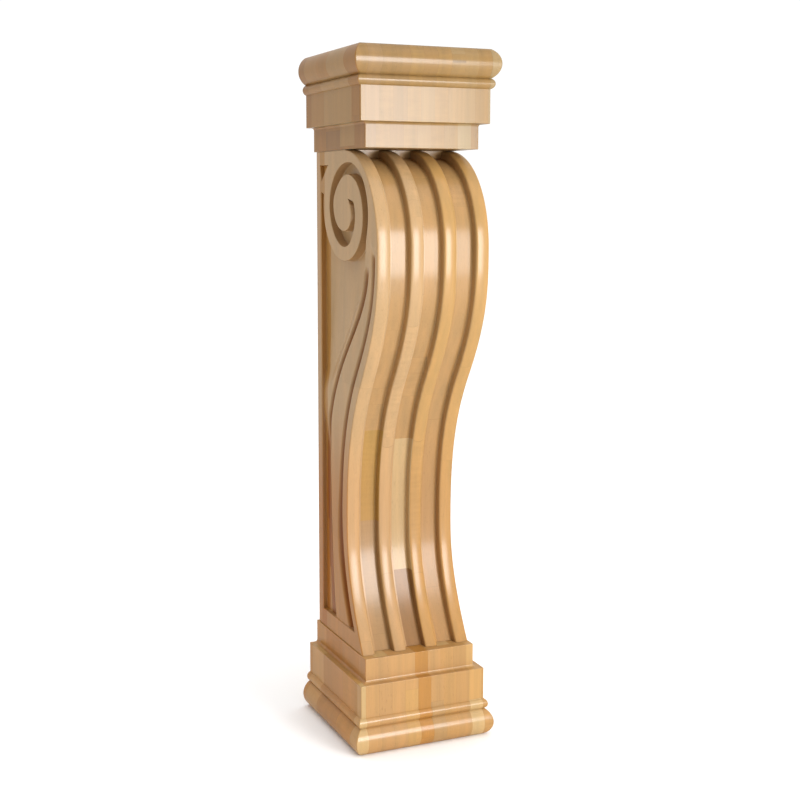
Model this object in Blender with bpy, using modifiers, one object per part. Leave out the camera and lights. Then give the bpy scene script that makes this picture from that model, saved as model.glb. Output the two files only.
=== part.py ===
"""A fluted corbel in glued-up hardwood, 0.91 m tall, cut off flat behind.

Three pieces stand on one another: a base block, a fluted scroll shaft and a capital block. The two
blocks have one moulding, turned over between them. It runs round the front and both sides and is
cut off flat behind. The shaft is flat behind as well, a little in front of the blocks' backs. It has
one S-shaped line down its front, three flutes, and on each side a scroll, a sunk panel and two long
grooves.

Metres, +Z up. X runs across the width, with 0 at the middle, and -Y is the front. The origin is on
the floor under the middle of the corbel's box. A depth is a distance forward from the blocks' backs.
"""

import math

import bmesh
import bpy
from mathutils import Vector
from mathutils.geometry import interpolate_bezier

# Overall sizes
HEIGHT = 0.914
NOSE_DEPTH = 0.216
BACK_Y = NOSE_DEPTH / 2
GLUE_GAP = 0.0003
CUT_MARGIN = 0.02
FLAT_ANGLE = math.radians(0.05)

# Capital and base: one moulding, measured from the shaft outwards
BLOCK_HEIGHT = 0.1255
NECK_HALF_WIDTH = 0.0795
NECK_DEPTH = 0.180
NECK_HEIGHT = 0.032
COVE_RADIUS = 0.0035
FASCIA_OVERHANG = 0.011
FASCIA_HEIGHT = 0.0435
BEAD_OVERHANG = 0.016
BEAD_HEIGHT = 0.0133
NOTCH_OVERHANG = 0.0118
TORUS_OVERHANG = 0.022
TORUS_WIDEST = 0.0188
CAP_OVERHANG = 0.0115

# Shaft
SHAFT_HALF_WIDTH = 0.078
SHAFT_SET_IN = 0.006
SHAFT_BOTTOM = BLOCK_HEIGHT + GLUE_GAP
SHAFT_TOP = HEIGHT - BLOCK_HEIGHT - GLUE_GAP
LINE_STEPS = 14

# The front line of the shaft: depth, height, lean of the line from upright, handles below and above
FOOT = (0.1675, BLOCK_HEIGHT, math.radians(-31.7), 0.0, 0.102)
WAIST = (0.113, 0.300, 0.0, 0.045, 0.094)
REVERSE = (0.1653, 0.494, math.radians(32.8), 0.0595, 0.093)
NOSE = (NOSE_DEPTH, 0.660, 0.0, 0.048, 0.074)
CROWN = (0.112, HEIGHT - BLOCK_HEIGHT, math.radians(-84.6), 0.057, 0.0)
FRONT_KNOTS = (FOOT, WAIST, REVERSE, NOSE, CROWN)

# Flutes
FLUTE_WIDTH = 0.0285
FLUTE_PITCH = 0.0457
FLUTE_DEPTH = 0.0108
FLUTE_CORNER = 0.0011

# Scroll on each side: both edges of its groove follow one spiral, about a groove width apart
SCROLL_DEPTH = 0.1072
SCROLL_HEIGHT = 0.7092
SCROLL_STRETCH = 1.04
SCROLL_PITCH = 0.0376
EYE_RADIUS = 0.0103
GROOVE_WIDTH = 0.0147
GROOVE_TIP = math.radians(30)
GROOVE_FULL = math.radians(64)
GROOVE_OPENS = math.radians(471)
RIBBON_END = math.radians(648)
SPIRAL_STEP = math.radians(12)
# Where each edge leaves the true spiral: middle, distance to either side, change of radius
EYE_CHANGES = (
    (math.radians(28), math.radians(47), 0.0055),
    (math.radians(205), math.radians(110), -0.0055),
    (math.radians(325), math.radians(45), -0.0030),
    (math.radians(360), math.radians(75), -0.0015),
    (math.radians(590), math.radians(120), -0.0052),
)
RIBBON_CHANGES = (
    (math.radians(172), math.radians(50), 0.0032),
    (math.radians(250), math.radians(50), -0.0015),
    (math.radians(440), math.radians(110), 0.0040),
)

# Sunk panel, middle band and strip groove
PANEL_SINK = 0.0095
BAND_SINK = 0.0025
STRIP_GROOVE_SINK = 0.0062
STILE_WIDTH = 0.0216
RAIL_TOP = 0.1486
PANEL_TOP = 0.7355
BAND_LINE_TOP = ((0.1835, 0.640), (0.1813, 0.5582), (0.0559, 0.515), (0.0465, 0.385))
BAND_LINE_FOOT = ((0.0465, 0.385), (0.0430, 0.352), (0.052, 0.200), (0.0635, RAIL_TOP))
STRIP_WIDTH = 0.0165
STRIP_WIDTH_TOP = 0.0065
STRIP_WIDTH_FOOT = 0.0123
STRIP_NARROWS_AT = 0.46
STRIP_NARROWEST_AT = 0.68
STRIP_FOOT_FROM = 0.31
STRIP_FOOT_AT = 0.22
STRIP_GROOVE_TOP = 0.655
STRIP_GROOVE_WIDTH = 0.012
STRIP_GROOVE_FOOT = 0.022

# Three-cornered recess between the ribbon, the stile and the top rail
RECESS_SINK = 0.0055
RECESS_CORNERS = ((0.018, 0.771), (0.0495, 0.771), (0.0235, 0.748))

# Wood colours, one for each piece
BASE_WOOD = (0.62, 0.38, 0.17, 1.0)
SHAFT_WOOD = (0.66, 0.42, 0.20, 1.0)
CAPITAL_WOOD = (0.60, 0.37, 0.18, 1.0)
LACQUER_ROUGHNESS = 0.35


def clear_scene():
    for item in list(bpy.data.objects):
        bpy.data.objects.remove(item, do_unlink=True)


def new_collection(name):
    collection = bpy.data.collections.new(name)
    bpy.context.scene.collection.children.link(collection)
    return collection


def wood(name, colour):
    material = bpy.data.materials.new(name)
    material.use_nodes = True
    shader = material.node_tree.nodes["Principled BSDF"]
    shader.inputs["Base Color"].default_value = colour
    shader.inputs["Roughness"].default_value = LACQUER_ROUGHNESS
    shader.inputs["Metallic"].default_value = 0.0
    return material


def arc_through(start, middle, end, steps):
    """Points on the circle through three points, from the start to the end."""
    a = Vector(start)
    b = Vector(middle)
    c = Vector(end)
    turn = 2 * (a.x * (b.y - c.y) + b.x * (c.y - a.y) + c.x * (a.y - b.y))
    squares = (a.length_squared, b.length_squared, c.length_squared)
    centre_x = squares[0] * (b.y - c.y) + squares[1] * (c.y - a.y) + squares[2] * (a.y - b.y)
    centre_y = squares[0] * (c.x - b.x) + squares[1] * (a.x - c.x) + squares[2] * (b.x - a.x)
    centre = Vector((centre_x, centre_y)) / turn
    first = math.atan2(a.y - centre.y, a.x - centre.x)
    last = math.atan2(c.y - centre.y, c.x - centre.x)
    radius = (a - centre).length
    points = []
    for step in range(steps + 1):
        angle = first + (last - first) * step / steps
        points.append((centre.x + radius * math.cos(angle), centre.y + radius * math.sin(angle)))
    return points


def moulding():
    """The blocks' moulding as (overhang, distance from the shaft) points, neck first."""
    cove_centre = (COVE_RADIUS, NECK_HEIGHT - COVE_RADIUS)
    cove = []
    for step in range(4):
        angle = math.radians(30 * step)
        overhang = cove_centre[0] - COVE_RADIUS * math.cos(angle)
        cove.append((overhang, cove_centre[1] + COVE_RADIUS * math.sin(angle)))
    bead_start = NECK_HEIGHT + FASCIA_HEIGHT
    notch = bead_start + BEAD_HEIGHT
    bead = arc_through(
        (FASCIA_OVERHANG, bead_start),
        (BEAD_OVERHANG, bead_start + BEAD_HEIGHT / 2),
        (NOTCH_OVERHANG, notch),
        6,
    )
    torus = arc_through(
        (NOTCH_OVERHANG, notch),
        (TORUS_OVERHANG, BLOCK_HEIGHT - TORUS_WIDEST),
        (CAP_OVERHANG, BLOCK_HEIGHT),
        12,
    )
    fascia_foot = (FASCIA_OVERHANG, NECK_HEIGHT)
    return [(0.0, 0.0)] + cove + [fascia_foot] + bead + torus[1:]


def plate(name, outline, low, high, collection):
    """A flat solid: an outline of (depth, height) points seen from the side, from low to high on X."""
    curve = bpy.data.curves.new(name, "CURVE")
    curve.dimensions = "2D"
    curve.fill_mode = "BOTH"
    curve.extrude = (high - low) / 2
    spline = curve.splines.new("POLY")
    spline.points.add(len(outline) - 1)
    for point, (across, height) in zip(spline.points, outline):
        point.co = (across, height, 0, 1)
    spline.use_cyclic_u = True
    guide = bpy.data.objects.new(name + "_outline", curve)
    collection.objects.link(guide)
    guide.rotation_euler = (math.pi / 2, 0, -math.pi / 2)
    guide.location = ((low + high) / 2, BACK_Y, 0)
    bpy.context.view_layer.update()
    evaluated = guide.evaluated_get(bpy.context.evaluated_depsgraph_get())
    mesh = bpy.data.meshes.new_from_object(evaluated)
    mesh.name = name
    solid = bpy.data.objects.new(name, mesh)
    solid.matrix_world = guide.matrix_world.copy()
    collection.objects.link(solid)
    bpy.data.objects.remove(guide, do_unlink=True)
    shell = bmesh.new()
    shell.from_mesh(mesh)
    bmesh.ops.remove_doubles(shell, verts=shell.verts, dist=0.00001)
    bmesh.ops.dissolve_limit(shell, angle_limit=FLAT_ANGLE, verts=shell.verts, edges=shell.edges)
    bmesh.ops.recalc_face_normals(shell, faces=shell.faces)
    shell.to_mesh(mesh)
    shell.free()
    return solid


def as_guide(item):
    item.hide_render = True
    item.display_type = "WIRE"
    return item


def cut(item, tool):
    boolean = item.modifiers.new(tool.name, "BOOLEAN")
    boolean.operation = "DIFFERENCE"
    boolean.solver = "EXACT"
    boolean.object = as_guide(tool)


def finish(item, material):
    item.data.materials.clear()
    item.data.materials.append(material)
    item.data.shade_smooth()
    item.data.set_sharp_from_angle(angle=math.radians(30))


def block(name, joint_height, direction, parts):
    """A capital or base: a rectangle drawn out along the moulding, with its back edge kept flat.

    The direction is 1 where the moulding rises from the shaft and -1 where it goes down.
    """
    shell = bmesh.new()
    bmesh.ops.create_grid(shell, x_segments=1, y_segments=1, size=1.0)
    corners = list(shell.verts)
    face = list(shell.faces)[0]
    inner = []
    for overhang, away in moulding():
        if away > 0:
            drawn = bmesh.ops.extrude_face_region(shell, geom=[face])["geom"]
            corners = [item for item in drawn if isinstance(item, bmesh.types.BMVert)]
            face = [item for item in drawn if isinstance(item, bmesh.types.BMFace)][0]
            inner.append(face)
        for corner in corners:
            corner.co.x = math.copysign(NECK_HALF_WIDTH + overhang, corner.co.x)
            if corner.co.y < 0:
                corner.co.y = BACK_Y - NECK_DEPTH - overhang
            else:
                corner.co.y = BACK_Y
            corner.co.z = direction * away
    bmesh.ops.delete(shell, geom=inner[:-1], context="FACES_ONLY")
    bmesh.ops.recalc_face_normals(shell, faces=shell.faces)
    mesh = bpy.data.meshes.new(name)
    shell.to_mesh(mesh)
    shell.free()
    piece = bpy.data.objects.new(name, mesh)
    piece.location.z = joint_height
    parts.objects.link(piece)
    return piece


def front_line():
    """The shaft's front line from foot to crown, as (depth, height) vectors."""
    line = []
    for lower, upper in zip(FRONT_KNOTS, FRONT_KNOTS[1:]):
        start = Vector(lower[:2])
        end = Vector(upper[:2])
        leaving = start + lower[4] * Vector((math.sin(lower[2]), math.cos(lower[2])))
        arriving = end - upper[3] * Vector((math.sin(upper[2]), math.cos(upper[2])))
        piece = interpolate_bezier(start, leaving, arriving, end, LINE_STEPS + 1)
        line += piece if not line else piece[1:]
    return line


def inset(line, distance):
    """The line moved into the wood, by a distance that may change with the height."""
    moved = []
    for index, point in enumerate(line):
        before = line[max(index - 1, 0)]
        after = line[min(index + 1, len(line) - 1)]
        along = (after - before).normalized()
        moved.append(point + distance(point.y) * Vector((-along.y, along.x)))
    return moved


def pairs(points):
    return [(point.x, point.y) for point in points]


def shaft_body(parts):
    line = front_line()
    outline = [(SHAFT_SET_IN, SHAFT_BOTTOM), (line[0].x, SHAFT_BOTTOM)]
    outline += pairs(line[1:-1])
    outline += [(line[-1].x, SHAFT_TOP), (SHAFT_SET_IN, SHAFT_TOP)]
    return plate("scroll_shaft", outline, -SHAFT_HALF_WIDTH, SHAFT_HALF_WIDTH, parts)


def flute(index, cutters):
    """A flute cutter: the space in front of the inset line, with rounded corners at the floor."""
    floor = inset(front_line(), lambda height: FLUTE_DEPTH)
    below = floor[0] + CUT_MARGIN * (floor[0] - floor[1]).normalized()
    outline = [(below.x, below.y)] + pairs(floor)
    far = NOSE_DEPTH + CUT_MARGIN
    outline += [(floor[-1].x, SHAFT_TOP + CUT_MARGIN), (far, SHAFT_TOP + CUT_MARGIN), (far, below.y)]
    middle = (index - 1) * FLUTE_PITCH
    name = "flute_%d" % (index + 1)
    tool = plate(name, outline, middle - FLUTE_WIDTH / 2, middle + FLUTE_WIDTH / 2, cutters)
    bevel = tool.modifiers.new("floor_corners", "BEVEL")
    bevel.width = FLUTE_CORNER
    bevel.segments = 3
    bevel.limit_method = "ANGLE"
    bevel.angle_limit = math.radians(60)
    bevel.use_clamp_overlap = False
    return tool


def scroll_point(radius, angle):
    """A point on the scroll: the angle turns from straight up towards the front."""
    depth = SCROLL_DEPTH + SCROLL_STRETCH * radius * math.sin(angle)
    return (depth, SCROLL_HEIGHT + radius * math.cos(angle))


def bump(angle, middle, to_side):
    """1 at the middle, falling smoothly to 0 on either side."""
    away = min(abs(angle - middle) / to_side, 1.0)
    return math.cos(math.pi / 2 * away) ** 2


def spiral(first_radius, changes, start, end):
    steps = round(abs(end - start) / SPIRAL_STEP)
    points = []
    for step in range(steps + 1):
        angle = start + (end - start) * step / steps
        radius = first_radius + SCROLL_PITCH * angle / math.tau
        radius += sum(change * bump(angle, middle, to_side) for middle, to_side, change in changes)
        points.append(scroll_point(radius, angle))
    return points


def band_line():
    """The back edge of the middle band, from the scroll down to the bottom rail."""
    line = []
    for knots in (BAND_LINE_TOP, BAND_LINE_FOOT):
        piece = interpolate_bezier(*[Vector(knot) for knot in knots], LINE_STEPS + 1)
        line += piece if not line else piece[1:]
    return line


def smooth(value):
    """Rises from 0 to 1 without a corner."""
    share = min(max(value, 0.0), 1.0)
    return share * share * (3 - 2 * share)


def strip_width(height):
    """The strip along the front edge narrows towards the scroll and, less, towards the foot."""
    up = smooth((height - STRIP_NARROWS_AT) / (STRIP_NARROWEST_AT - STRIP_NARROWS_AT))
    down = smooth((STRIP_FOOT_FROM - height) / (STRIP_FOOT_FROM - STRIP_FOOT_AT))
    width = STRIP_WIDTH + (STRIP_WIDTH_TOP - STRIP_WIDTH) * up
    return width + (STRIP_WIDTH_FOOT - width) * down


def strip_line():
    """The back edge of the front strip, from the bottom rail up to where its groove ends."""
    line = inset(front_line(), strip_width)
    return [point for point in line if RAIL_TOP < point.y < STRIP_GROOVE_TOP]


def panel_outline():
    """The scroll's groove and the sunk panel that it opens into, as one outline."""
    outline = spiral(EYE_RADIUS, EYE_CHANGES, GROOVE_TIP, RIBBON_END)
    outline += [(STILE_WIDTH, PANEL_TOP), (STILE_WIDTH, RAIL_TOP)]
    outline += pairs(reversed(band_line()))
    outline += spiral(EYE_RADIUS + GROOVE_WIDTH, RIBBON_CHANGES, GROOVE_OPENS, GROOVE_FULL)
    return outline


def band_outline():
    """The middle band, which lies a little below the front strip and runs into the panel."""
    overlap = Vector((0.004, 0.0))
    strip = [point - Vector((0.001, 0.0)) for point in strip_line()]
    back = [point - overlap for point in band_line()]
    foot = [(back[-1].x, RAIL_TOP + 0.0004), (strip[0].x, RAIL_TOP + 0.0004)]
    return pairs(back[:-1]) + foot + pairs(strip)


def strip_groove_outline():
    """The groove behind the front strip: a point at the top, widest at the rail."""
    strip = strip_line()
    back = []
    for point in strip:
        rise = (point.y - RAIL_TOP) / (STRIP_GROOVE_TOP - RAIL_TOP)
        width = STRIP_GROOVE_WIDTH * min(1.0, 4 * (1 - rise))
        width += (STRIP_GROOVE_FOOT - STRIP_GROOVE_WIDTH) * max(0.0, 1 - 8 * rise)
        back.append(point - Vector((width, 0.0)))
    foot = [Vector((back[0].x, RAIL_TOP)), Vector((strip[0].x, RAIL_TOP))]
    return pairs(list(reversed(back)) + foot + strip)


def pocket(name, outline, sink, side, cutters):
    """A flat-floored pocket on one side of the shaft: side is -1 for left and 1 for right."""
    floor = side * (SHAFT_HALF_WIDTH - sink)
    outside = side * (SHAFT_HALF_WIDTH + CUT_MARGIN)
    low = min(floor, outside)
    high = max(floor, outside)
    return plate(name, outline, low, high, cutters)


def shaft(parts, cutters):
    piece = shaft_body(parts)
    for index in range(3):
        cut(piece, flute(index, cutters))
    for side, word in ((-1, "left"), (1, "right")):
        cut(piece, pocket("panel_" + word, panel_outline(), PANEL_SINK, side, cutters))
        cut(piece, pocket("band_" + word, band_outline(), BAND_SINK, side, cutters))
        groove = strip_groove_outline()
        cut(piece, pocket("strip_groove_" + word, groove, STRIP_GROOVE_SINK, side, cutters))
        cut(piece, pocket("recess_" + word, RECESS_CORNERS, RECESS_SINK, side, cutters))
    return piece


def main():
    clear_scene()
    parts = new_collection("fluted_corbel")
    cutters = new_collection("cutters")
    finish(block("base_block", BLOCK_HEIGHT, -1, parts), wood("base_wood", BASE_WOOD))
    finish(shaft(parts, cutters), wood("shaft_wood", SHAFT_WOOD))
    capital = block("capital_block", HEIGHT - BLOCK_HEIGHT, 1, parts)
    finish(capital, wood("capital_wood", CAPITAL_WOOD))


main()
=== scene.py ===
# %% [markdown]
# # A fluted corbel in glued-up hardwood
# The real corbel is made of maple-like staves glued side by side and end to end, then shaped,
# carved on both sides, sanded and lacquered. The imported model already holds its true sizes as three
# plain solids. This lesson gives each solid a fine surface of its own and a wood with staves, grain
# and lacquer. Everything is in metres, +Z is up and the flat backs of the blocks face +Y.

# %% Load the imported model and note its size
import math

import bmesh
import bpy
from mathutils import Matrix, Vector
from mathutils.geometry import interpolate_bezier

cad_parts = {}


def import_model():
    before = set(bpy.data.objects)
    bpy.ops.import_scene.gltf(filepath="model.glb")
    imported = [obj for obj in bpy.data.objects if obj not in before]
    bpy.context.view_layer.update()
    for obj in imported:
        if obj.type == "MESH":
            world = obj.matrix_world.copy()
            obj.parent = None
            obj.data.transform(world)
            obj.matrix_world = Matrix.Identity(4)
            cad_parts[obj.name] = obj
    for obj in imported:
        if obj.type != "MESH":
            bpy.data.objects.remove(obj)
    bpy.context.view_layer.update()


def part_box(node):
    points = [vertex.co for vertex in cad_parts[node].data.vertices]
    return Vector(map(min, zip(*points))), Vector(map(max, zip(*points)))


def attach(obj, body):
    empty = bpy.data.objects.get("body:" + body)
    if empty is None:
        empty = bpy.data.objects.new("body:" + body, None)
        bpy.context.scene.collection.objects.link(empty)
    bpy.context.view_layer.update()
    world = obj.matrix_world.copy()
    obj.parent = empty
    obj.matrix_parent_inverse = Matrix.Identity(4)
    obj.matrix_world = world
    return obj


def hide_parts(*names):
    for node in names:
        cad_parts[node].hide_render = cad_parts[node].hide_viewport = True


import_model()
base_low, base_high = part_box("base_block")
shaft_low, shaft_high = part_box("scroll_shaft")
capital_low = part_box("capital_block")[0]
BACK_Y = base_high.y
SHAFT_BACK_Y = shaft_high.y
SHAFT_BOTTOM = shaft_low.z
SHAFT_TOP = shaft_high.z
SHAFT_HALF_WIDTH = shaft_high.x

# %% [markdown]
# ## Camera, floor and light
# The corbel is seen from its front left, from a little above its middle. The lens and the angles are
# those at which the edges of the two blocks and the S of the shaft fall where they do in the
# photograph. The floor and the surroundings are almost white. One large soft lamp stands at the
# front right, so that the left side stays in its own brown shade.

# %% Set the camera
CAMERA_PLACE = (-0.7132, -1.5828, 0.7227)
CAMERA_PITCH = 81.97
CAMERA_YAW = -23.237
CAMERA_LENS = 58.4
CAMERA_SHIFT = (0.03, -0.02)

camera_data = bpy.data.cameras.new("camera")
camera_data.lens = CAMERA_LENS
camera_data.shift_x, camera_data.shift_y = CAMERA_SHIFT
camera_data.clip_start = 0.01
camera = bpy.data.objects.new("camera", camera_data)
camera.location = CAMERA_PLACE
camera.rotation_euler = (math.radians(CAMERA_PITCH), 0, math.radians(CAMERA_YAW))
bpy.context.scene.collection.objects.link(camera)
bpy.context.scene.camera = camera
print("camera at", CAMERA_PLACE, "lens", CAMERA_LENS)

# %% Lay the floor
FLOOR_SIZE = 60.0
FLOOR_COLOUR = (0.98, 0.98, 0.98, 1.0)
FLOOR_ROUGHNESS = 0.9


def select_none():
    if bpy.context.mode != "OBJECT":
        bpy.ops.object.mode_set(mode="OBJECT")
    bpy.ops.object.select_all(action="DESELECT")


select_none()
bpy.ops.mesh.primitive_plane_add(size=FLOOR_SIZE)
floor = bpy.context.active_object
floor.name = "floor"
floor_paint = bpy.data.materials.new("floor_paint")
floor_paint.use_nodes = True
floor_shader = floor_paint.node_tree.nodes["Principled BSDF"]
floor_shader.inputs["Base Color"].default_value = FLOOR_COLOUR
floor_shader.inputs["Roughness"].default_value = FLOOR_ROUGHNESS
floor.data.materials.append(floor_paint)
print("floor", FLOOR_SIZE, "m wide")

# %% Light it
ROOM_STRENGTH = 0.27
# Each glow: its direction, where it begins, where it is full and how much it adds
GLOWS = (
    ((0.0, 1.0, 0.0), 0.0, 0.5, 0.78),
    ((0.0, 0.0, 1.0), 0.5, 0.9, 0.90),
    ((0.45, -0.70, 0.55), 0.60, 0.97, 0.95),
)
LAMP_AIM = Vector((0, -0.1, 0.45))
KEY_LAMP = {"azimuth": 19, "height": 0.80, "distance": 2.6, "size": (0.75, 1.2), "watts": 50.0}


def make_sky():
    """A dim room with three glows: the white backdrop, a pale ceiling and one above the lamp."""
    world = bpy.data.worlds.new("sky")
    world.use_nodes = True
    tree = world.node_tree
    place = tree.nodes.new("ShaderNodeTexCoord").outputs["Generated"]
    background = tree.nodes["Background"]
    background.inputs["Color"].default_value = (1.0, 1.0, 1.0, 1.0)
    total = None
    for direction, low, high, gain in GLOWS:
        facing = tree.nodes.new("ShaderNodeVectorMath")
        facing.operation = "DOT_PRODUCT"
        facing.inputs[1].default_value = direction
        tree.links.new(place, facing.inputs[0])
        rise = tree.nodes.new("ShaderNodeMapRange")
        rise.interpolation_type = "SMOOTHSTEP"
        rise.inputs["From Min"].default_value = low
        rise.inputs["From Max"].default_value = high
        rise.inputs["To Max"].default_value = gain
        tree.links.new(facing.outputs["Value"], rise.inputs["Value"])
        both = tree.nodes.new("ShaderNodeMath")
        both.inputs[0].default_value = ROOM_STRENGTH
        if total:
            tree.links.new(total, both.inputs[0])
        tree.links.new(rise.outputs["Result"], both.inputs[1])
        total = both.outputs["Value"]
    tree.links.new(total, background.inputs["Strength"])
    return world


def soft_lamp(name, azimuth, height, distance, size, watts):
    """A rectangular lamp round the corbel: azimuth 0 is straight in front and 90 to the right."""
    data = bpy.data.lights.new(name, "AREA")
    data.shape = "RECTANGLE"
    data.size, data.size_y = size
    data.energy = watts
    lamp = bpy.data.objects.new(name, data)
    turn = math.radians(azimuth)
    lamp.location = (distance * math.sin(turn), -distance * math.cos(turn), height)
    lamp.rotation_euler = (LAMP_AIM - lamp.location).to_track_quat("-Z", "Y").to_euler()
    bpy.context.scene.collection.objects.link(lamp)
    return lamp


bpy.context.scene.world = make_sky()
bpy.context.scene.view_settings.view_transform = "Standard"
soft_lamp("key_lamp", **KEY_LAMP)

# %% [markdown]
# ## Selecting by place
# Blender's edit-mode tools act on what is selected. By hand that is a click, and in a script it is a
# rule about where an edge or a face lies. These helpers open edit mode on one piece, pick what a rule
# names, and move vertices to worked-out places.

# %% Helpers for edit mode
def select_only(piece):
    select_none()
    piece.select_set(True)
    bpy.context.view_layer.objects.active = piece


def edit(piece, kind):
    """Opens edit mode on this piece alone, to select VERT, EDGE or FACE, with nothing selected."""
    select_only(piece)
    bpy.ops.object.mode_set(mode="EDIT")
    bpy.ops.mesh.select_mode(type=kind)
    bpy.ops.mesh.select_all(action="DESELECT")


def pick(piece, kind, rule):
    """Selects the verts, edges or faces that the rule says yes to, and counts them."""
    shell = bmesh.from_edit_mesh(piece.data)
    chosen = [item for item in getattr(shell, kind) if rule(item)]
    for item in chosen:
        item.select_set(True)
    shell.select_flush_mode()
    bmesh.update_edit_mesh(piece.data)
    return len(chosen)


def finish_edit(piece):
    """Turns the faces of a closed piece outwards and leaves edit mode."""
    bpy.ops.mesh.select_all(action="SELECT")
    bpy.ops.mesh.normals_make_consistent(inside=False)
    if bmesh.from_edit_mesh(piece.data).calc_volume(signed=True) < 0:
        bpy.ops.mesh.flip_normals()
    bpy.ops.object.mode_set(mode="OBJECT")
    return piece


def move_vertices(piece, places):
    flat = [value for place in places for value in place]
    piece.data.vertices.foreach_set("co", flat)
    piece.data.update()


def at(depth, height, x=0.0):
    """A point of the corbel from its depth in front of the blocks' backs and its height."""
    return (x, BACK_Y - depth, height)


print("helpers ready")

# %% [markdown]
# ## The moulded blocks
# The capital and the base are the same block turned over. On the bench its moulding is run with a
# router along the front and both sides, and the corners meet in mitres. Here a plane the size of the
# neck is extruded again and again up the moulding, and each time it is scaled from the middle of its
# back edge, so the back stays flat. The two front corners are rounded a little first, because sanding
# breaks every sharp edge.

# %% The moulding's outline
NECK_HEIGHT = 0.032
COVE_RADIUS = 0.0035
FASCIA_OVERHANG = 0.011
FASCIA_HEIGHT = 0.0435
BEAD_OVERHANG = 0.016
BEAD_HEIGHT = 0.0133
NOTCH_OVERHANG = 0.0118
TORUS_OVERHANG = 0.022
TORUS_WIDEST = 0.0188
CAP_OVERHANG = 0.0115
EDGE_EASE = 0.0006
EASE_STEPS = 3
COVE_STEPS = 6
BEAD_STEPS = 12
TORUS_STEPS = 24
BLOCK_HEIGHT = base_high.z - base_low.z


def arc_through(start, middle, end, steps):
    """Points on the circle through three points, from the start to the end."""
    a = Vector(start)
    b = Vector(middle)
    c = Vector(end)
    turn = 2 * (a.x * (b.y - c.y) + b.x * (c.y - a.y) + c.x * (a.y - b.y))
    squares = (a.length_squared, b.length_squared, c.length_squared)
    centre_x = squares[0] * (b.y - c.y) + squares[1] * (c.y - a.y) + squares[2] * (a.y - b.y)
    centre_y = squares[0] * (c.x - b.x) + squares[1] * (a.x - c.x) + squares[2] * (b.x - a.x)
    centre = Vector((centre_x, centre_y)) / turn
    first = math.atan2(a.y - centre.y, a.x - centre.x)
    last = math.atan2(c.y - centre.y, c.x - centre.x)
    radius = (a - centre).length
    points = []
    for step in range(steps + 1):
        angle = first + (last - first) * step / steps
        points.append((centre.x + radius * math.cos(angle), centre.y + radius * math.sin(angle)))
    return points


def quarter(centre, radius, start, end, steps):
    """Points on part of a circle, with angles in degrees from the overhang's direction."""
    points = []
    for step in range(steps + 1):
        angle = math.radians(start + (end - start) * step / steps)
        points.append((centre[0] + radius * math.cos(angle), centre[1] + radius * math.sin(angle)))
    return points


def moulding():
    """The moulding as (overhang, distance from the shaft) points, neck first."""
    outline = quarter((-EDGE_EASE, EDGE_EASE), EDGE_EASE, -90, 0, EASE_STEPS)
    outline += quarter((COVE_RADIUS, NECK_HEIGHT - COVE_RADIUS), COVE_RADIUS, 180, 90, COVE_STEPS)
    corner = (FASCIA_OVERHANG - EDGE_EASE, NECK_HEIGHT + EDGE_EASE)
    outline += quarter(corner, EDGE_EASE, -90, 0, EASE_STEPS)
    bead_start = NECK_HEIGHT + FASCIA_HEIGHT
    notch = bead_start + BEAD_HEIGHT
    bead_side = (BEAD_OVERHANG, bead_start + BEAD_HEIGHT / 2)
    bead_end = (NOTCH_OVERHANG, notch)
    outline += arc_through((FASCIA_OVERHANG, bead_start), bead_side, bead_end, BEAD_STEPS)
    torus_side = (TORUS_OVERHANG, BLOCK_HEIGHT - TORUS_WIDEST)
    torus_end = (CAP_OVERHANG, BLOCK_HEIGHT)
    outline += arc_through(bead_end, torus_side, torus_end, TORUS_STEPS)[1:]
    return [(min(overhang, TORUS_OVERHANG), away) for overhang, away in outline]


print("moulding has", len(moulding()), "points")

# %% Make the two blocks
CORNER_RADIUS = 0.0012
LEFT_FACING = -0.3
NECK_HALF_WIDTH = base_high.x - TORUS_OVERHANG
NECK_DEPTH = base_high.y - base_low.y - TORUS_OVERHANG


def make_block(name, joint_height, direction):
    """A block from the joint with the shaft outwards: direction is 1 for up and -1 for down."""
    select_none()
    bpy.ops.mesh.primitive_plane_add(size=1)
    piece = bpy.context.active_object
    piece.name = name
    outline = moulding()
    half_width = NECK_HALF_WIDTH + outline[0][0]
    depth = NECK_DEPTH + outline[0][0]
    piece.scale = (2 * half_width, depth, 1)
    piece.location = (0, BACK_Y - depth / 2, joint_height)
    bpy.ops.object.transform_apply(location=True, rotation=False, scale=True)
    edit(piece, "VERT")
    pick(piece, "verts", lambda vert: vert.co.y < BACK_Y - depth / 2)
    bpy.ops.mesh.bevel(offset=CORNER_RADIUS, segments=EASE_STEPS, affect="VERTICES")
    bpy.ops.mesh.select_mode(type="FACE")
    bpy.ops.mesh.select_all(action="SELECT")
    before = outline[0]
    for point in outline[1:]:
        rise = direction * (point[1] - before[1])
        bpy.ops.mesh.extrude_region_move(TRANSFORM_OT_translate={"value": (0, 0, rise)})
        wider = (NECK_HALF_WIDTH + point[0]) / (NECK_HALF_WIDTH + before[0])
        deeper = (NECK_DEPTH + point[0]) / (NECK_DEPTH + before[0])
        middle_back = (0, BACK_Y, joint_height + direction * point[1])
        bpy.ops.transform.resize(value=(wider, deeper, 1), center_override=middle_back)
        before = point
    return finish_edit(piece)


def mark_warm_shade_faces(piece, rule):
    """Marks the faces that take a warmer, browner painted shade, for the material to read."""
    layer = piece.data.attributes.new("warm", "FLOAT", "FACE")
    marks = [float(rule(face)) for face in piece.data.polygons]
    layer.data.foreach_set("value", marks)
    return sum(marks)


base = make_block("moulded_base", base_high.z, -1)
capital = make_block("moulded_capital", capital_low.z, 1)
# The left-facing faces of the blocks take a painted shade, browner than the front
for piece in (base, capital):
    mark_warm_shade_faces(piece, lambda face: face.normal.x < LEFT_FACING)
print("blocks", len(base.data.polygons), "faces each")

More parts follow.
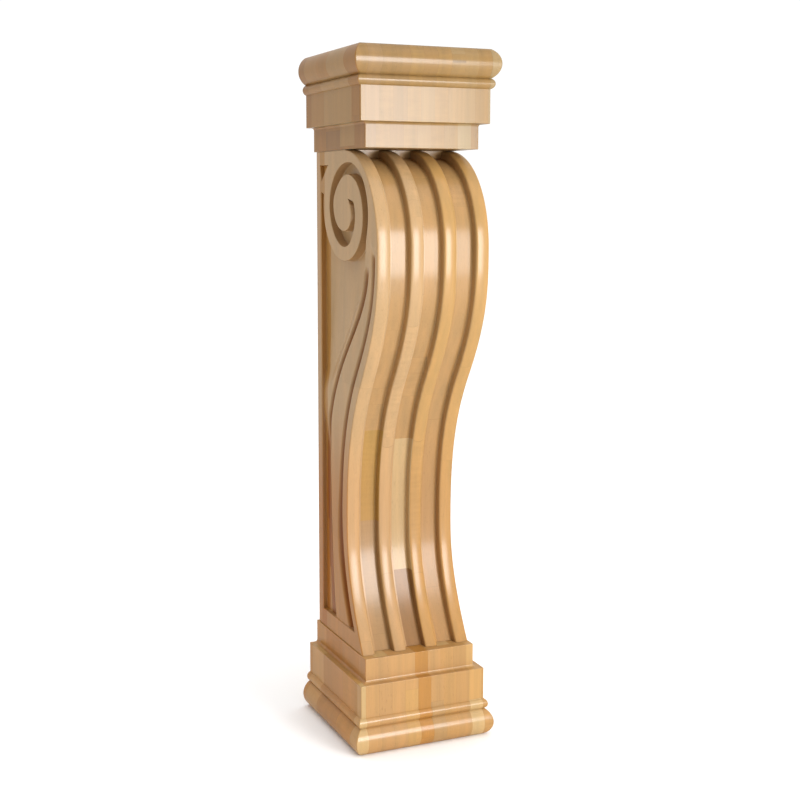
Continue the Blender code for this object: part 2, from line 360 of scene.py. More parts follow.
# %% [markdown]
# ## The front of the shaft
# The front is one S-shaped line swept across the width. Three flutes follow it, each a router cut
# with rounded corners at its floor, and the ribs between them are sanded slightly round. The line is
# a chain of Bezier curves between a few knots: the foot, the waist, the reverse of the curve, the
# nose and the crown.
# A grid primitive has rows and columns, which is just what a swept section needs. Its columns take
# the section across the flutes, its rows follow the line, and every vertex moves to its place.

# %% The S-shaped line
# Each knot: its depth and height, how far the line leans there, and its handles below and above
FOOT = (0.1675, base_high.z, math.radians(-31.7), 0.0, 0.102)
WAIST = (0.113, 0.300, 0.0, 0.045, 0.094)
REVERSE = (0.1653, 0.494, math.radians(32.8), 0.0595, 0.093)
NOSE = (BACK_Y - shaft_low.y, 0.660, 0.0, 0.048, 0.074)
CROWN = (0.112, capital_low.z, math.radians(-84.6), 0.057, 0.0)
FRONT_KNOTS = (FOOT, WAIST, REVERSE, NOSE, CROWN)
ROW_LENGTH = 0.003
# A curve between two knots is about this much longer than the straight way
CURVE_LENGTH = 1.05
BELOW_FOOT = 0.02


def front_line():
    """The front line from below the foot to the crown, as (depth, height) vectors."""
    line = []
    for lower, upper in zip(FRONT_KNOTS, FRONT_KNOTS[1:]):
        start = Vector(lower[:2])
        end = Vector(upper[:2])
        leaving = start + lower[4] * Vector((math.sin(lower[2]), math.cos(lower[2])))
        arriving = end - upper[3] * Vector((math.sin(upper[2]), math.cos(upper[2])))
        steps = round(CURVE_LENGTH * (end - start).length / ROW_LENGTH)
        stretch = interpolate_bezier(start, leaving, arriving, end, steps + 1)
        line += stretch if not line else stretch[1:]
    down = (line[0] - line[1]).normalized()
    return [line[0] + BELOW_FOOT * down, line[0] + BELOW_FOOT / 2 * down] + line


def inward(line, index):
    """The direction into the wood, square to the line."""
    along = (line[min(index + 1, len(line) - 1)] - line[max(index - 1, 0)]).normalized()
    return Vector((-along.y, along.x))


front = front_line()
print("front line has", len(front), "points")

# %% The section across the flutes
FLUTE_WIDTH = 0.0275
FLUTE_PITCH = 0.0457
FLUTE_DEPTH = 0.0108
FLUTE_CORNER = 0.0011
FLUTE_DRAFT = 0.0004
FLUTE_EDGE = 0.0028
RIB_CROWN = 0.0004
ARRIS_RADIUS = 0.0018
ROUND_EDGE_STEPS = 4
FLUTE_CORNER_STEPS = 5
RIB_STEPS = 8


def quarter_turn(steps):
    """Angles from 0 to a right angle."""
    return [math.radians(90 * step / steps) for step in range(steps + 1)]


def flute_half():
    """Half a flute, from its edge on the rib to its middle: (across from the edge, inset)."""
    edge = []
    for angle in quarter_turn(ROUND_EDGE_STEPS):
        across = FLUTE_EDGE * (math.sin(angle) - 1)
        edge.append((across, RIB_CROWN + FLUTE_EDGE * (1 - math.cos(angle))))
    corner = []
    for angle in quarter_turn(FLUTE_CORNER_STEPS):
        across = FLUTE_DRAFT + FLUTE_CORNER * (1 - math.cos(angle))
        corner.append((across, FLUTE_DEPTH - FLUTE_CORNER * (1 - math.sin(angle))))
    return edge + corner


def rib(start, end):
    """The slightly round top of a rib, without its two ends."""
    points = []
    for step in range(1, RIB_STEPS):
        share = step / RIB_STEPS
        bow = (2 * share - 1) ** 2
        points.append((start + (end - start) * share, RIB_CROWN * bow))
    return points


def section():
    """Across the whole front, from left to right, as (x, inset) points."""
    points = []
    for angle in quarter_turn(ROUND_EDGE_STEPS):
        across = ARRIS_RADIUS * (1 - math.cos(angle)) - SHAFT_HALF_WIDTH
        points.append((across, RIB_CROWN + ARRIS_RADIUS * (1 - math.sin(angle))))
    left = points[-1][0]
    for index in (-1, 0, 1):
        start = index * FLUTE_PITCH - FLUTE_WIDTH / 2
        points += rib(left, start - FLUTE_EDGE)
        half = flute_half()
        points += [(start + across, inset) for across, inset in half]
        points.append((index * FLUTE_PITCH, FLUTE_DEPTH))
        end = index * FLUTE_PITCH + FLUTE_WIDTH / 2
        points += [(end - across, inset) for across, inset in reversed(half)]
        left = end + FLUTE_EDGE
    points += rib(left, SHAFT_HALF_WIDTH - ARRIS_RADIUS)
    mirrored = [(-across, inset) for across, inset in reversed(points[:ROUND_EDGE_STEPS + 1])]
    return points + mirrored


across_front = section()
print("section has", len(across_front), "points")

# %% Sweep the section along the line
def grid(name, columns, rows):
    """A grid primitive with this many columns and rows of vertices."""
    select_none()
    bpy.ops.mesh.primitive_grid_add(x_subdivisions=columns - 1, y_subdivisions=rows - 1, size=1)
    piece = bpy.context.active_object
    piece.name = name
    return piece


def sweep_front():
    places = []
    for index, point in enumerate(front):
        into = inward(front, index)
        for across, inset in across_front:
            deep = point + inset * into
            places.append(at(deep.x, min(deep.y, SHAFT_TOP), across))
    crown = front[-1]
    places += [at(crown.x, SHAFT_TOP, across) for across, inset in across_front]
    piece = grid("carved_shaft", len(across_front), len(front) + 1)
    move_vertices(piece, places)
    return piece


shaft = sweep_front()
print("front has", len(shaft.data.polygons), "faces")

# %% Cut the foot square and close the body
JOINED = 0.00001


def lies_on(face, x, z):
    """Whether the face lies in the plane of this x or this z."""
    if x is not None:
        return all(abs(vert.co.x - x) < JOINED for vert in face.verts)
    return all(abs(vert.co.z - z) < JOINED for vert in face.verts)


def close_body(piece):
    """Cuts off what hangs below the foot, draws the open edge back flat and merges the flat faces."""
    edit(piece, "EDGE")
    bpy.ops.mesh.select_all(action="SELECT")
    foot = (0, 0, SHAFT_BOTTOM)
    bpy.ops.mesh.bisect(plane_co=foot, plane_no=(0, 0, 1), clear_inner=True, use_fill=False)
    bpy.ops.mesh.select_all(action="DESELECT")
    pick(piece, "edges", lambda edge: edge.is_boundary)
    bpy.ops.mesh.extrude_region_move(TRANSFORM_OT_translate={"value": (0, 0, 0)})
    bpy.ops.transform.resize(value=(1, 0, 1), center_override=(0, SHAFT_BACK_Y, 0))
    bpy.ops.mesh.edge_face_add()
    sides = [(-SHAFT_HALF_WIDTH, None), (SHAFT_HALF_WIDTH, None)]
    for x, z in sides + [(None, SHAFT_BOTTOM), (None, SHAFT_TOP)]:
        bpy.ops.mesh.select_mode(type="FACE")
        bpy.ops.mesh.select_all(action="DESELECT")
        pick(piece, "faces", lambda face: lies_on(face, x, z))
        bpy.ops.mesh.dissolve_faces()
    return finish_edit(piece)


close_body(shaft)
print("closed body has", len(shaft.data.polygons), "faces")

# %% [markdown]
# ## The carving on the sides
# Each side has a scroll, a sunk panel that its groove opens into, a middle band and a strip along
# the front edge, with a gouged line behind the band and another behind the strip. A carver works
# down from the flat side with gouges, so every carved edge has the same shape: a slightly rounded
# lip, a nearly upright wall and a small fillet at the floor.
# The carving is made on a thin slab as wide as the side, cut by tools of the same shape as the
# hollows. The finished slab face then takes the side's place on the body, and its mirror image takes
# the other side's. Cutting a thin slab is quick, and both sides come out the same.

# %% The edge of a carved hollow
LIP_RADIUS = 0.0009
WALL_DRAFT = 0.0007
FLOOR_FILLET = 0.0008
ABOVE_SIDE = 0.0005
LIP_START = math.radians(20)
# In a shallow cut, the lip and the fillet each take at most this share of the depth
ROUND_SHARE = 0.4
ROUND_STEPS = 3
EDGE_POINTS = 2 * ROUND_STEPS + 3


def smooth(value):
    """Rises from 0 to 1 without a corner."""
    share = min(max(value, 0.0), 1.0)
    return share * share * (3 - 2 * share)


def above(value, start, length):
    """0 up to the start, then rising to 1 over the length."""
    return smooth((value - start) / length)


def below(value, start, length):
    """0 down to the start, then rising to 1 over the length below it."""
    return smooth((start - value) / length)


def blend(start, end, share):
    return start + (end - start) * share


def carved_edge(depth):
    """From above the side, over the lip and down to a floor: (distance in, depth) points."""
    lip = min(LIP_RADIUS, max(ROUND_SHARE * depth, 0.0))
    fillet = min(FLOOR_FILLET, max(ROUND_SHARE * depth, 0.0))
    points = []
    for step in range(ROUND_STEPS + 1):
        angle = blend(LIP_START, math.pi / 2, step / ROUND_STEPS)
        points.append((lip * math.sin(angle), min(lip * (1 - math.cos(angle)), depth)))
    first = points[0]
    away = (first[1] + ABOVE_SIDE) / math.tan(LIP_START)
    points.insert(0, (first[0] - away, -ABOVE_SIDE))
    foot = lip + WALL_DRAFT
    for angle in quarter_turn(ROUND_STEPS):
        points.append((foot + fillet * (1 - math.cos(angle)), depth - fillet * (1 - math.sin(angle))))
    return points


print("carved edge in mm", [(round(a * 1000, 2), round(b * 1000, 2)) for a, b in carved_edge(0.007)])

# %% The scroll, the band's back edge and the strip's back edge
SCROLL_DEPTH = 0.1072
SCROLL_HEIGHT = 0.7092
SCROLL_STRETCH = 1.04
SCROLL_PITCH = 0.0376
EYE_RADIUS = 0.0103
GROOVE_WIDTH = 0.0147
GROOVE_TIP = 30
GROOVE_FULL = 64
GROOVE_OPENS = 471
RIBBON_END = 648
STILE_WIDTH = 0.0216
RAIL_TOP = 0.1486
PANEL_TOP = 0.7355
BAND_TOP = ((0.1835, 0.640), (0.1813, 0.5582), (0.0559, 0.515), (0.0465, 0.385))
BAND_FOOT = ((0.0465, 0.385), (0.0430, 0.352), (0.052, 0.200), (0.0635, RAIL_TOP))
STRIP_WIDTH = 0.0165
STRIP_WIDTH_TOP = 0.0065
STRIP_WIDTH_FOOT = 0.0123
# Heights are given as pairs, where a change starts and how far it takes, for above() and below()
STRIP_NARROWS = (0.46, 0.22)
STRIP_FOOT = (0.31, 0.09)
STRIP_LINE_TOP = 0.70
BAND_LINE_STEPS = 60
RIBBON_LAP = Vector((0.0015, 0.0))
# Where the carver's hand leaves the true spiral: (degrees, to either side, change of radius)
EYE_CHANGES = (
    (28, 47, 0.0055), (205, 110, -0.0055), (325, 45, -0.0030), (360, 75, -0.0015), (590, 120, -0.0052),
)
RIBBON_CHANGES = ((172, 50, 0.0032), (250, 50, -0.0015), (440, 110, 0.0040))


def bump(value, middle, half_width):
    """1 at the middle, falling smoothly to 0 at the half width."""
    away = min(abs(value - middle) / half_width, 1.0)
    return math.cos(math.pi / 2 * away) ** 2


def spiral_radius(first_radius, changes, degrees):
    radius = first_radius + SCROLL_PITCH * degrees / 360
    return radius + sum(change * bump(degrees, middle, side) for middle, side, change in changes)


def scroll_point(radius, degrees):
    """A point on the scroll: the angle turns from straight up towards the front."""
    angle = math.radians(degrees)
    depth = SCROLL_DEPTH + SCROLL_STRETCH * radius * math.sin(angle)
    return Vector((depth, SCROLL_HEIGHT + radius * math.cos(angle)))


def eye_side(degrees):
    """The groove's inner side: the edge of the eye and then of the ribbon."""
    return scroll_point(spiral_radius(EYE_RADIUS, EYE_CHANGES, degrees), degrees)


def ribbon_side(degrees):
    """The groove's outer side, where the ribbon stands up again."""
    return scroll_point(spiral_radius(EYE_RADIUS + GROOVE_WIDTH, RIBBON_CHANGES, degrees), degrees)


def spiral(side, start, end, step):
    count = round(abs(end - start) / step)
    turns = [start + (end - start) * index / count for index in range(count + 1)]
    return [(side(degrees), degrees) for degrees in turns]


def depth_on(line, height):
    """The depth at which a line, given from bottom to top, passes this height."""
    for lower, upper in zip(line, line[1:]):
        if height <= upper.y:
            return blend(lower.x, upper.x, (height - lower.y) / (upper.y - lower.y))
    return line[-1].x


def strip_width(height):
    """The strip narrows towards the scroll and, less, towards the foot."""
    width = blend(STRIP_WIDTH, STRIP_WIDTH_TOP, above(height, *STRIP_NARROWS))
    return blend(width, STRIP_WIDTH_FOOT, below(height, *STRIP_FOOT))


def make_band_line():
    """From the rail up to the place where the scroll's ribbon stands up again."""
    line = []
    for knots in (BAND_FOOT, BAND_TOP):
        stretch = interpolate_bezier(*[Vector(knot) for knot in reversed(knots)], BAND_LINE_STEPS)
        line += stretch if not line else stretch[1:]
    return line + [ribbon_side(GROOVE_OPENS) + RIBBON_LAP]


def make_strip_line():
    line = []
    for index, point in enumerate(front):
        if point.y < STRIP_LINE_TOP:
            line.append(point + strip_width(point.y) * inward(front, index))
    return line


band_line = make_band_line()
strip_line = make_strip_line()
print("band line", len(band_line), "points, strip line", len(strip_line), "points")

# %% The scroll's groove and the panel, as one cutting tool
PANEL_SINK = 0.0118
STILE_SHARE = 0.60
PANEL_DEEPENS = (0.56, 0.08)
PANEL_FOOT = 0.505
PANEL_LAP = 0.004
STILE_LAP = 0.00003
BAND_LAP = 0.006
REACH_LOW = 0.045
REACH_HIGH = 0.012
REACH_SHORTENS = (0.585, 0.075)
ROW_STEP = 0.004
# In the scroll, places are given by the degrees that its spiral has turned
SCROLL_STEP = 5
TIP_STEPS = 7
TIP_LENGTH = 0.0115
TIP_SPREAD = 0.25
TIP_SINK = 0.35
FULL_SINK_AT = 115
SHALLOWS_FROM = 560
SOFT_FROM = (50, 30)
SOFT_TO = (130, 30)
SOFT_FLANK = 0.0065
SOFT_START = 0.0002
TOOL_JOINED = 0.000001


def reach(height):
    """How far behind the band's edge the panel starts to rise towards it."""
    return blend(REACH_LOW, REACH_HIGH, above(height, *REACH_SHORTENS))


def panel_share(height):
    """The share of the full sink: less beside the stile than round the scroll."""
    return blend(STILE_SHARE, 1.0, above(height, *PANEL_DEEPENS))


def tightness(distance):
    """How much of the edge's width fits in, this far from the groove's pointed tip."""
    near = min(distance / TIP_LENGTH, 1.0)
    return TIP_SPREAD * near + (1 - TIP_SPREAD) * near ** 2


def scroll_share(degrees):
    """The share of the full sink in the scroll, which is less near the groove's tip."""
    return blend(TIP_SINK, 1, above(degrees, GROOVE_TIP, FULL_SINK_AT - GROOVE_TIP))


def panel_outline():
    """The outline, with the wood on its right: (point, share of the sink, share in, softness)."""
    tip = eye_side(GROOVE_TIP)
    outline = []
    for point, degrees in spiral(eye_side, GROOVE_TIP, RIBBON_END, SCROLL_STEP):
        tight = tightness((point - tip).length)
        soft = above(degrees, *SOFT_FROM) * below(degrees, *SOFT_TO)
        shallow = above(degrees, SHALLOWS_FROM, RIBBON_END - SHALLOWS_FROM)
        outline.append((point, blend(scroll_share(degrees), STILE_SHARE, shallow), tight, soft))
    height = PANEL_FOOT - PANEL_LAP
    for corner in (PANEL_TOP, height):
        outline.append((Vector((STILE_WIDTH + STILE_LAP, corner)), STILE_SHARE, 1, 0))
    while height < band_line[-2].y:
        across = depth_on(band_line, height) - reach(height) + BAND_LAP
        outline.append((Vector((across, height)), panel_share(height), 1, 0))
        height += ROW_STEP
    outer = spiral(ribbon_side, GROOVE_OPENS, GROOVE_FULL, SCROLL_STEP)
    for point, degrees in outer:
        outline.append((point, scroll_share(degrees), 1, 0))
    corner = outer[-1][0]
    corner_sink = outline[-1][1]
    for step in range(1, TIP_STEPS):
        share = step / TIP_STEPS
        point = corner.lerp(tip, share)
        sink = blend(corner_sink, TIP_SINK, share)
        outline.append((point, sink, tightness((point - tip).length), 0))
    return outline


def sharp_turns(points):
    """For each point of a closed outline, the way that moves both its edges in by one."""
    turns = []
    for index, point in enumerate(points):
        before = (point - points[index - 1]).normalized()
        after = (points[(index + 1) % len(points)] - point).normalized()
        square = Vector((-before.y, before.x)) + Vector((-after.y, after.x))
        turns.append(square / (1 + before.dot(after)))
    return turns


def cutting_tool(name, outline, sink):
    """A tool whose sides are carved edges, from an outline with the wood on its right."""
    points = [item[0] for item in outline]
    turns = sharp_turns(points)
    places = []
    for level in range(EDGE_POINTS):
        ring = []
        for point, turn, (place, share, tight, soft) in zip(points, turns, outline):
            away, depth = carved_edge(sink * share)[level]
            if level > 0:
                step = level / (EDGE_POINTS - 1)
                away = blend(away, SOFT_FLANK * step, soft)
                depth = blend(depth, sink * share * smooth(step) + SOFT_START * (1 - step), soft)
            moved = point + tight * away * turn
            ring.append(at(moved.x, moved.y, depth - SHAFT_HALF_WIDTH))
        places += ring + ring[:1]
    tool = grid(name, len(outline) + 1, EDGE_POINTS)
    move_vertices(tool, places)
    edit(tool, "VERT")
    bpy.ops.mesh.select_all(action="SELECT")
    bpy.ops.mesh.remove_doubles(threshold=TOOL_JOINED)
    for low_ring in (False, True):
        bpy.ops.mesh.select_mode(type="EDGE")
        bpy.ops.mesh.select_all(action="DESELECT")
        rim = -SHAFT_HALF_WIDTH
        pick(tool, "edges", lambda edge: edge.is_boundary and (edge.verts[0].co.x > rim) == low_ring)
        if low_ring:
            bpy.ops.mesh.fill(use_beauty=True)
        else:
            bpy.ops.mesh.edge_face_add()
    return finish_edit(tool)


panel_tool = cutting_tool("panel_tool", panel_outline(), PANEL_SINK)
print("panel tool", len(panel_tool.data.polygons), "faces")

# %% The small recess above the panel
RECESS_SINK = 0.0055
RECESS_CORNERS = ((0.0235, 0.748), (0.0495, 0.771), (0.018, 0.771))

recess = [(Vector(corner), 1, 1, 0) for corner in RECESS_CORNERS]
recess_tool = cutting_tool("recess_tool", recess, RECESS_SINK)
print("recess tool", len(recess_tool.data.polygons), "faces")

# %% The panel's foot, the band and the strip, as one swept cutting tool
TOOL_TOP = 0.686
RUN_OUT = 0.002
# Rows at the rail, then rows close together where the panel's foot turns behind the band
RAIL_POINTS = 6
RAIL_CLEAR = 0.001
FOOT_ROWS = (0.0, 0.0005, 0.001, 0.003, 0.005, 0.008)
ABOVE_FOOT_ROWS = 0.012
FOOT_TURN = 0.0006
NO_LIMIT = 1.0
# How much the floors of two tools differ where they meet
HIDDEN = 0.00002
# A gouge: how wide, its flat floor, how much deeper, and how wide the front one is at its foot
GOUGE_BACK = 0.0175
GOUGE_FLOOR = 0.0105
GOUGE_EXTRA = 0.006
GOUGE_FOOT = 0.027
GOUGE_WIDENS = (0.36, 0.14)
GOUGE_ROOM = 0.004
FLANK_STEPS = 8
FLANK_CURVE = 1.25
BAND_GOUGE_ENDS = (0.645, 0.030)
FRONT_GOUGE_ENDS = (0.638, 0.030)
FRONT_GOUGE_GONE = -0.0001
# The panel's floor: how high it rises at the band's gouge, and where it is shallow by the stile
PANEL_RISEN = 0.003
PANEL_FLAT = 0.008
LEAST_ROOM = 0.001
PANEL_SHALLOW = 0.0025
SHALLOW_TO = (0.500, 0.040)
SHALLOW_FROM = (0.405, 0.035)
PANEL_ENDS = (0.636, 0.012)
PANEL_STEP_IN = 0.003
PANEL_TURN = 0.008
PANEL_STEPS = 7
# The band's own floor
BAND_SINK_LOW = 0.0015
BAND_SINK_HIGH = 0.0025
BAND_DEEPENS = (0.50, 0.10)
BAND_ENDS = (0.630, 0.056)
BAND_GONE = -0.00015
BAND_STEPS = 5
LEAST_BAND = 0.001
# The plain channel that the panel becomes low down
CHANNEL_SINK = 0.0055
CHANNEL_BACK = -0.0078
CHANNEL_FRONT = 0.0075
CHANNEL_FROM = (0.432, 0.051)


def panel_depth(height, behind):
    """The panel's depth, this far behind the band's edge, towards which the panel rises."""
    side = PANEL_SINK * panel_share(height) - 2 * HIDDEN
    if height <= PANEL_FOOT + FOOT_TURN:
        side = PANEL_SINK * STILE_SHARE + HIDDEN
    side = blend(side, PANEL_SHALLOW, below(height, *SHALLOW_TO) * above(height, *SHALLOW_FROM))
    room = max(reach(height) - PANEL_FLAT - GOUGE_BACK, LEAST_ROOM)
    return blend(side, PANEL_RISEN, smooth(1 - (behind - GOUGE_BACK) / room))


def band_depth(height):
    sunk = blend(BAND_SINK_LOW, BAND_SINK_HIGH, above(height, *BAND_DEEPENS))
    return blend(sunk, BAND_GONE, above(height, *BAND_ENDS))


def gouge(edge, wide, before, deepest, wall):
    """A gouged line behind an edge: a round flank, a floor and the edge's own wall."""
    points = []
    floor = GOUGE_FLOOR * wide / GOUGE_BACK
    for step in range(FLANK_STEPS + 1):
        share = step / FLANK_STEPS
        behind = blend(wide, floor, share)
        points.append((edge - behind, blend(before(behind), deepest, smooth(share ** FLANK_CURVE))))
    foot = wall[-1][0]
    points.append((edge - (floor + foot) / 2, deepest))
    return points + [(edge - away, depth) for away, depth in reversed(wall)]


def band_gouge(height, edge, low):
    """The gouge behind the band, which melts into a plain slope low down."""
    wide = min(GOUGE_BACK, reach(height) - GOUGE_ROOM)
    band = band_depth(height)
    top = above(height, *PANEL_ENDS)

    def before(behind):
        return blend(panel_depth(height, behind), band, top)

    deepest = PANEL_RISEN + GOUGE_EXTRA * below(height, *BAND_GOUGE_ENDS)
    deepest = blend(deepest, band, top)
    wall = [(away, band + depth) for away, depth in carved_edge(deepest - band)[1:]]
    steep = gouge(edge, wide, before, deepest, wall)
    mixed = []
    for index, (across, depth) in enumerate(steep):
        share = index / (len(steep) - 1)
        plain_across = edge + blend(CHANNEL_BACK, CHANNEL_FRONT, share)
        plain_depth = blend(CHANNEL_SINK, band, smooth(share))
        mixed.append((blend(across, plain_across, low), blend(depth, plain_depth, low)))
    return mixed


def strip_gouge(height, strip, band_end):
    """The gouge behind the front strip, which widens towards the foot."""
    band = band_depth(height)
    deepest = blend(band + GOUGE_EXTRA, FRONT_GOUGE_GONE, above(height, *FRONT_GOUGE_ENDS))
    wide = blend(GOUGE_BACK, GOUGE_FOOT, below(height, *GOUGE_WIDENS))
    wide = min(wide, strip - band_end - LEAST_BAND)
    return gouge(strip, wide, lambda behind: band, deepest, carved_edge(deepest))


def band_row(height, limit):
    """Across the side at one height: (depth from the back, depth of the cut) points."""
    edge = depth_on(band_line, height)
    strip = depth_on(strip_line, height)
    low = below(height, *CHANNEL_FROM)
    left = STILE_WIDTH
    if height > PANEL_FOOT + FOOT_TURN:
        inner_left = edge - reach(height)
        left = blend(STILE_WIDTH + PANEL_STEP_IN, inner_left, above(height, PANEL_FOOT, PANEL_TURN))
    band = band_depth(height)
    top = above(height, *PANEL_ENDS)
    middle = band_gouge(height, edge, low)

    def floor_at(across):
        plain = blend(panel_depth(height, edge - across), CHANNEL_SINK, low)
        return blend(plain, band, top)

    row = [(left + away, depth) for away, depth in carved_edge(floor_at(left))]
    wall_end = row[-1][0]
    for step in range(1, PANEL_STEPS):
        across = blend(wall_end, middle[0][0], step / PANEL_STEPS)
        row.append((across, floor_at(across)))
    row += middle
    front_part = strip_gouge(height, strip, middle[-1][0])
    for step in range(1, BAND_STEPS):
        row.append((blend(middle[-1][0], front_part[0][0], step / BAND_STEPS), band))
    row += front_part
    return [(across, min(depth, limit)) for across, depth in row]


def band_rows():
    """The rows from the rail to the tool's top, each with a limit to its depth."""
    rows = [(RAIL_TOP + away, depth) for away, depth in carved_edge(PANEL_SINK)[:RAIL_POINTS]]
    height = rows[-1][0] + RAIL_CLEAR
    while height < PANEL_FOOT:
        rows.append((height, NO_LIMIT))
        height += ROW_STEP
    rows += [(PANEL_FOOT + beyond, NO_LIMIT) for beyond in FOOT_ROWS]
    height = PANEL_FOOT + ABOVE_FOOT_ROWS
    while height < TOOL_TOP:
        rows.append((height, NO_LIMIT))
        height += ROW_STEP
    return rows + [(TOOL_TOP + RUN_OUT, -ABOVE_SIDE)]


def make_band_tool():
    rows = band_rows()
    sections = [band_row(*row) for row in rows]
    places = []
    for (height, _), across_row in zip(rows, sections):
        places += [at(across, height, depth - SHAFT_HALF_WIDTH) for across, depth in across_row]
    tool = grid("band_tool", len(sections[0]), len(rows))
    move_vertices(tool, places)
    edit(tool, "EDGE")
    pick(tool, "edges", lambda edge: edge.is_boundary)
    bpy.ops.mesh.edge_face_add()
    return finish_edit(tool)


band_tool = make_band_tool()
print("band tool", len(band_tool.data.polygons), "faces")

# %% Carve the side
SLAB = 0.014


def take_side(body):
    """Copies the body's left side as a slab and opens both sides of the body."""
    edit(body, "FACE")
    pick(body, "faces", lambda face: lies_on(face, -SHAFT_HALF_WIDTH, None))
    bpy.ops.mesh.duplicate()
    bpy.ops.mesh.separate(type="SELECTED")
    bpy.ops.object.mode_set(mode="OBJECT")
    slab = [item for item in bpy.context.selected_objects if item != body][0]
    for x in (-SHAFT_HALF_WIDTH, SHAFT_HALF_WIDTH):
        edit(body, "FACE")
        pick(body, "faces", lambda face: lies_on(face, x, None))
        bpy.ops.mesh.delete(type="ONLY_FACE")
        bpy.ops.object.mode_set(mode="OBJECT")
    edit(slab, "FACE")
    bpy.ops.mesh.select_all(action="SELECT")
    bpy.ops.mesh.extrude_region_move(TRANSFORM_OT_translate={"value": (SLAB, 0, 0)})
    return finish_edit(slab)


def carve(piece, tool):
    select_only(piece)
    boolean = piece.modifiers.new("carve", "BOOLEAN")
    boolean.operation = "DIFFERENCE"
    boolean.solver = "EXACT"
    boolean.object = tool
    bpy.ops.object.modifier_apply(modifier=boolean.name)
    bpy.data.objects.remove(tool, do_unlink=True)


side = take_side(shaft)
for tool in (panel_tool, band_tool, recess_tool):
    carve(side, tool)
    print("side has", len(side.data.polygons), "faces after a cut")

# %% Put both sides on the body
HOLE_SIDES = 4


def open_back(slab):
    """Keeps only the slab's carved face."""
    edit(slab, "FACE")
    inner = SLAB - SHAFT_HALF_WIDTH - JOINED
    pick(slab, "faces", lambda face: any(vert.co.x > inner for vert in face.verts))
    bpy.ops.mesh.delete(type="FACE")
    bpy.ops.object.mode_set(mode="OBJECT")


def join_sides(body, left):
    """Mirrors the carved side, joins both sides to the body and closes the last small holes."""
    open_back(left)
    select_only(left)
    bpy.ops.object.duplicate()
    right = bpy.context.active_object
    right.scale = (-1, 1, 1)
    bpy.ops.object.transform_apply(location=False, rotation=False, scale=True)
    left.select_set(True)
    body.select_set(True)
    bpy.context.view_layer.objects.active = body
    bpy.ops.object.join()
    edit(body, "VERT")
    bpy.ops.mesh.select_all(action="SELECT")
    bpy.ops.mesh.remove_doubles(threshold=JOINED)
    bpy.ops.mesh.select_all(action="SELECT")
    bpy.ops.mesh.fill_holes(sides=HOLE_SIDES)
    return finish_edit(body)


join_sides(shaft, side)
print("shaft has", len(shaft.data.polygons), "faces")

# %% [markdown]
# ## Painted shade in the gouges
# On the real corbel the gouged lines and the upright walls of the carving lie in deep brown shade.
# That shade is painted into the wood's colour. It could be painted by hand, but the script knows
# where the lines are, so it works out how much deeper each vertex lies than the plain floor beside
# it. The result is kept in an attribute of the mesh, and the wood's material reads it later. A second
# attribute marks the side faces, which take a painted shade, darker and warmer low down than the front.

# %% Mark the painted shade in the gouges
WALL_SHADE = 0.36
UPRIGHT = 0.75
UPRIGHT_SOFT = 0.3
FULL_SHADE_WITHIN = 0.5
SCROLL_FROM = TOOL_TOP - 0.03
SCROLL_REACH = 0.0775
STRIP_LAP = 0.0005
LINE_LAP = 0.002
LEAST_SUNK = 0.0008
BACK_CLEAR = 0.010
SIDEWAYS = 0.5


def on_side(depth, height):
    """Whether a point lies in the carved part of a side and not on the front."""
    if height > SCROLL_FROM:
        away = Vector(((depth - SCROLL_DEPTH) / SCROLL_STRETCH, height - SCROLL_HEIGHT))
        return away.length < SCROLL_REACH or depth < SCROLL_DEPTH
    return height > RAIL_TOP and depth < depth_on(strip_line, height) + STRIP_LAP


def painted_shade(x, depth, height, facing):
    """How much painted shade a point takes, from 0 to 1: most in the gouges and some on upright walls.
    """
    sunk = SHAFT_HALF_WIDTH - abs(x)
    if not LEAST_SUNK <= sunk <= SLAB or depth < BACK_CLEAR or not on_side(depth, height):
        return 0.0
    # Upright walls of the carving take a little painted shade
    wall = WALL_SHADE * below(abs(facing), UPRIGHT, UPRIGHT_SOFT)
    if height > TOOL_TOP:
        return wall
    edge = depth_on(band_line, height)
    plain = sunk
    if edge - GOUGE_BACK < depth < edge + LINE_LAP:
        plain = panel_depth(height, edge - depth)
    elif depth > edge:
        plain = band_depth(height)
    return max(wall, min((sunk - plain) / (FULL_SHADE_WITHIN * GOUGE_EXTRA), 1.0))


def mark_painted_shade(piece):
    """Marks each vertex with its share of painted shade, for the material to read."""
    layer = piece.data.attributes.new("painted_shade", "FLOAT", "POINT")
    marks = []
    for vert in piece.data.vertices:
        marks.append(painted_shade(vert.co.x, BACK_Y - vert.co.y, vert.co.z, vert.normal.x))
    layer.data.foreach_set("value", marks)
    return sum(1 for mark in marks if mark > 0)


def on_flat_side(face):
    return abs(face.normal.x) > SIDEWAYS and abs(face.center.x) > SHAFT_HALF_WIDTH - SLAB


# Counts the points that take painted shade in the gouges and on upright walls
print("gathered lacquer at", mark_painted_shade(shaft), "points")
# Counts the side faces of the shaft that take a painted shade
print("warmer wood on", mark_warm_shade_faces(shaft, on_flat_side), "faces")

# %% [markdown]
# ## Smooth shading
# Mouldings, ribs and carved edges are sanded round, and here they are many narrow flat faces. Smooth
# shading makes these look round, and leaves every edge above a set angle crisp. Weighted normals then
# keep the large flat faces flat beside the small ones of a rounded edge.

# %% Smooth the curved faces
SHARP = math.radians(35)


def shade(piece):
    select_only(piece)
    bpy.ops.object.shade_smooth_by_angle(angle=SHARP)
    weighted = piece.modifiers.new("even_normals", "WEIGHTED_NORMAL")
    weighted.keep_sharp = True
    bpy.ops.object.modifier_apply(modifier=weighted.name)


for piece in (base, capital, shaft):
    shade(piece)
print("shaded")

